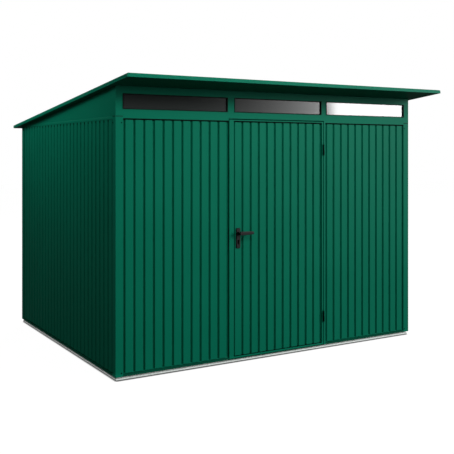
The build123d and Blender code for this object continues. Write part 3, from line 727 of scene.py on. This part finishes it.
# Lever collars, the inner plate's screws and the lock's forend
spindle_low, spindle_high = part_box("lever_spindle")
axle = (spindle_low + spindle_high) / 2
plates_low, plates_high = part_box("lock_plates")
lever_collar("lever_collar_outside", (axle.x, plates_low.y - COLLAR_STAND, axle.z))
lever_collar("lever_collar_inside", (axle.x, plates_high.y + COLLAR_STAND, axle.z))
for level, height in (("top", plates_high.z - PLATE_SCREW_MARGIN),
                      ("foot", plates_low.z + PLATE_SCREW_MARGIN)):
    drive(button, f"plate_screw_{level}", (axle.x, plates_high.y, height), (radians(-90), 0, 0),
          plated, "door")
put_away(button)
lock_forend("lock_forend",
            (leaf_low.x - FOREND_THICKNESS, leaf_low.y + FOREND_NEAR, plates_low.z - FOREND_MARGIN),
            (leaf_low.x, leaf_low.y + FOREND_FAR, plates_high.z + FOREND_MARGIN))

# The black flap over the keyhole, which paints the keyhole's shade
keyhole_low, keyhole_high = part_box("lock_cylinder")
keyhole_shade_flap("keyhole_shade_flap",
             (axle.x - FLAP_HALF_WIDTH, keyhole_low.y - FLAP_STAND, keyhole_low.z - FLAP_MARGIN),
             (axle.x + FLAP_HALF_WIDTH, keyhole_low.y - CLEARANCE, keyhole_high.z + FLAP_MARGIN))

# Lever ends that turn back towards the door
outer_low, outer_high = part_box("lever_outside")
inner_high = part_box("lever_inside")[1]
lever_return("lever_return_outside", Vector((outer_high.x, outer_low.y, axle.z)), 1)
lever_return("lever_return_inside", Vector((inner_high.x, inner_high.y, axle.z)), -1)

# Domed caps on the hinge barrels: the low end stays with the post, the high end turns with the door
low_hinge_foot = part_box("hinge_halves_fixed")[0].z
high_hinge_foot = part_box("hinge_halves_door")[1].z - HINGE_HEIGHT
for level, foot in (("low", low_hinge_foot), ("high", high_hinge_foot)):
    hinge_cap(f"hinge_cap_foot_{level}", (HINGE_AXIS_X, HINGE_AXIS_Y, foot), -1, "shed")
    hinge_cap(f"hinge_cap_top_{level}", (HINGE_AXIS_X, HINGE_AXIS_Y, foot + HINGE_HEIGHT), 1, "door")

# Roofing screws that hold each pan to the two purlins
roofing_screw = washer_screw_blank()
pans_low, pans_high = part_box("roof_pans")
pan_width = (pans_high.x - pans_low.x) / PAN_COUNT
for row, run in enumerate(PURLIN_RUNS):
    for pan in range(PAN_COUNT):
        for spot, share in enumerate(PAN_SCREW_SHARES):
            drive(roofing_screw, f"roof_screw_{row}_{pan}_{spot}",
                  (pans_low.x + (pan + share) * pan_width,
                   ROOF_EDGE_Y + run * cos(ROOF_TILT) + PAN_SINK * sin(ROOF_TILT),
                   ROOF_EDGE_Z - run * sin(ROOF_TILT) + PAN_SINK * cos(ROOF_TILT)),
                  (-ROOF_TILT, 0, 0), green, "shed")
put_away(roofing_screw)

# Studio

def studio_floor():
    """A pale floor that the camera sees as white, with the shed's faint shadow."""
    bpy.ops.object.select_all(action="DESELECT")
    bpy.ops.mesh.primitive_plane_add(size=FLOOR_SIZE)
    floor = bpy.context.object
    floor.name = "studio_floor"
    frame_low, frame_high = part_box("base_rail_front")[0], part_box("base_rail_back")[1]
    material, tree, place = new_material("pale_studio_floor")
    path = add_node(tree, "ShaderNodeLightPath")
    paper = add_node(tree, "ShaderNodeBsdfDiffuse", {"Color": linear("#525252")})
    # What is close to the floor mirrors it and takes its bounced light
    near = add_node(tree, "ShaderNodeMath", {
        0: path.outputs["Ray Length"], 1: BOUNCE_REACH}, operation="LESS_THAN")
    indirect = add_node(tree, "ShaderNodeMath", {
        0: path.outputs["Is Glossy Ray"], 1: path.outputs["Is Diffuse Ray"]}, operation="MAXIMUM")
    bounced = add_node(tree, "ShaderNodeMath", {
        0: indirect.outputs["Value"], 1: near.outputs["Value"]}, operation="MULTIPLY")
    # The shadow line where the base frame meets the floor
    corner = add_node(tree, "ShaderNodeAmbientOcclusion", {"Distance": CONTACT_SHADE}, samples=16)
    shade = add_node(tree, "ShaderNodeMapRange", {
        "Value": corner.outputs["AO"], "From Min": 0.5, "To Min": 0.15, "To Max": 0.97})
    level = add_node(tree, "ShaderNodeMath", {
        0: path.outputs["Is Camera Ray"], 1: shade.outputs["Result"], 2: bounced.outputs["Value"]},
        operation="MULTIPLY_ADD")
    # Under the roof, inside the base frame, the floor lies in shade
    spot = add_node(tree, "ShaderNodeSeparateXYZ", {"Vector": place})
    aside = add_node(tree, "ShaderNodeMath", {0: spot.outputs["X"]}, operation="ABSOLUTE")
    past_sides = add_node(tree, "ShaderNodeMath", {
        0: aside.outputs["Value"], 1: (frame_high.x - frame_low.x) / 2 - FRAME_FOOT},
        operation="GREATER_THAN")
    along = add_node(tree, "ShaderNodeMath", {
        0: spot.outputs["Y"], 1: (frame_high.y + frame_low.y) / 2}, operation="SUBTRACT")
    ahead = add_node(tree, "ShaderNodeMath", {0: along.outputs["Value"]}, operation="ABSOLUTE")
    past_ends = add_node(tree, "ShaderNodeMath", {
        0: ahead.outputs["Value"], 1: (frame_high.y - frame_low.y) / 2 - FRAME_FOOT},
        operation="GREATER_THAN")
    outside = add_node(tree, "ShaderNodeMath", {
        0: past_sides.outputs["Value"], 1: past_ends.outputs["Value"]}, operation="MAXIMUM")
    level = add_node(tree, "ShaderNodeMath", {
        0: level.outputs["Value"], 1: outside.outputs["Value"]}, operation="MULTIPLY")
    glow = add_node(tree, "ShaderNodeEmission", {
        "Color": linear("#FFFFFF"), "Strength": level.outputs["Value"]})
    white = add_node(tree, "ShaderNodeAddShader", {0: paper.outputs["BSDF"], 1: glow.outputs["Emission"]})
    close_material(tree, white.outputs["Shader"])
    floor.data.materials.append(material)


def studio_world():
    """White to the camera and through glass, with low grey light from all round. What shines
    mirrors a dark room, with a glow round the edge of the key light that fades in a few degrees."""
    world = bpy.data.worlds.new("white_studio")
    bpy.context.scene.world = world
    world.use_nodes = True
    tree = world.node_tree
    tree.nodes.clear()
    path = add_node(tree, "ShaderNodeLightPath")
    seen = add_node(tree, "ShaderNodeMath", {
        0: path.outputs["Is Camera Ray"], 1: path.outputs["Is Transmission Ray"]}, operation="MAXIMUM")
    around = add_node(tree, "ShaderNodeBackground", {"Color": linear("#FFFFFF"), "Strength": 0.26})
    white = add_node(tree, "ShaderNodeBackground", {"Color": linear("#FFFFFF"), "Strength": 1.0})
    way = add_node(tree, "ShaderNodeTexCoord")
    parts = add_node(tree, "ShaderNodeSeparateXYZ", {"Vector": way.outputs["Generated"]})
    turn = add_node(tree, "ShaderNodeMath", {
        0: parts.outputs["Y"], 1: parts.outputs["X"]}, operation="ARCTAN2")
    beside = add_node(tree, "ShaderNodeMath", {
        0: turn.outputs["Value"], 1: radians(KEY_EDGE)}, operation="ADD")
    apart = add_node(tree, "ShaderNodeMath", {0: beside.outputs["Value"]}, operation="ABSOLUTE")
    nearness = add_node(tree, "ShaderNodeMapRange", {
        "Value": apart.outputs["Value"], "From Max": radians(KEY_GLOW_WIDTH), "To Min": 1.0, "To Max": 0.0})
    fade = add_node(tree, "ShaderNodeMath", {0: nearness.outputs["Result"], 1: 4.0}, operation="POWER")
    strength = add_node(tree, "ShaderNodeMath", {
        0: fade.outputs["Value"], 1: 4.0, 2: 0.01}, operation="MULTIPLY_ADD")
    mirrored = add_node(tree, "ShaderNodeBackground", {
        "Color": linear("#FFFFFF"), "Strength": strength.outputs["Value"]})
    rest = add_node(tree, "ShaderNodeMixShader", {
        0: path.outputs["Is Glossy Ray"], 1: around.outputs["Background"], 2: mirrored.outputs["Background"]})
    mixed = add_node(tree, "ShaderNodeMixShader", {
        0: seen.outputs["Value"], 1: rest.outputs["Shader"], 2: white.outputs["Background"]})
    add_node(tree, "ShaderNodeOutputWorld", {"Surface": mixed.outputs["Shader"]})


def studio_lamp(name, azimuth, elevation, distance, size, power, aim, reflected):
    """A soft rectangular lamp; azimuth is turned from +X towards -Y, in degrees."""
    aim = Vector(aim)
    turn, rise = radians(azimuth), radians(elevation)
    back = Vector((cos(turn) * cos(rise), -sin(turn) * cos(rise), sin(rise)))
    bpy.ops.object.light_add(type="AREA", location=aim + back * distance)
    lamp = bpy.context.object
    lamp.name = name
    lamp.rotation_euler = back.to_track_quat("Z", "Y").to_euler()
    lamp.data.shape = "RECTANGLE"
    lamp.data.size, lamp.data.size_y = size
    lamp.data.energy = power
    lamp.visible_camera = False
    lamp.visible_glossy = reflected
    return lamp


def studio_camera():
    """The photograph's view: level, turned to the left front corner, shifted down to frame the shed."""
    bpy.ops.object.camera_add(location=CAMERA_PLACE, rotation=(radians(90), 0, radians(CAMERA_TURN)))
    camera = bpy.context.object
    camera.data.lens = CAMERA_LENS
    camera.data.sensor_width = CAMERA_SENSOR
    camera.data.shift_y = CAMERA_SHIFT
    bpy.context.scene.camera = camera


studio_floor()
studio_world()
studio_lamp("key_softbox", azimuth=38.9, elevation=14.5, distance=30, size=(12.5, 12.0),
            power=7950, aim=(0, -1.08, 1.2), reflected=True)
studio_lamp("front_fill", azimuth=95, elevation=30, distance=2.75, size=(4.0, 0.6),
            power=46, aim=(0, -1.08, 1.8), reflected=False)
studio_lamp("side_strip", azimuth=190, elevation=33, distance=1.25, size=(3.2, 0.5),
            power=20.5, aim=(-1.47, 0.4, 1.95), reflected=False)
studio_lamp("rear_right_fill", azimuth=-60, elevation=30, distance=10, size=(4, 4),
            power=500, aim=(0.5, 0.6, 1.2), reflected=False)
studio_camera()
bpy.context.scene.view_settings.view_transform = "Standard"
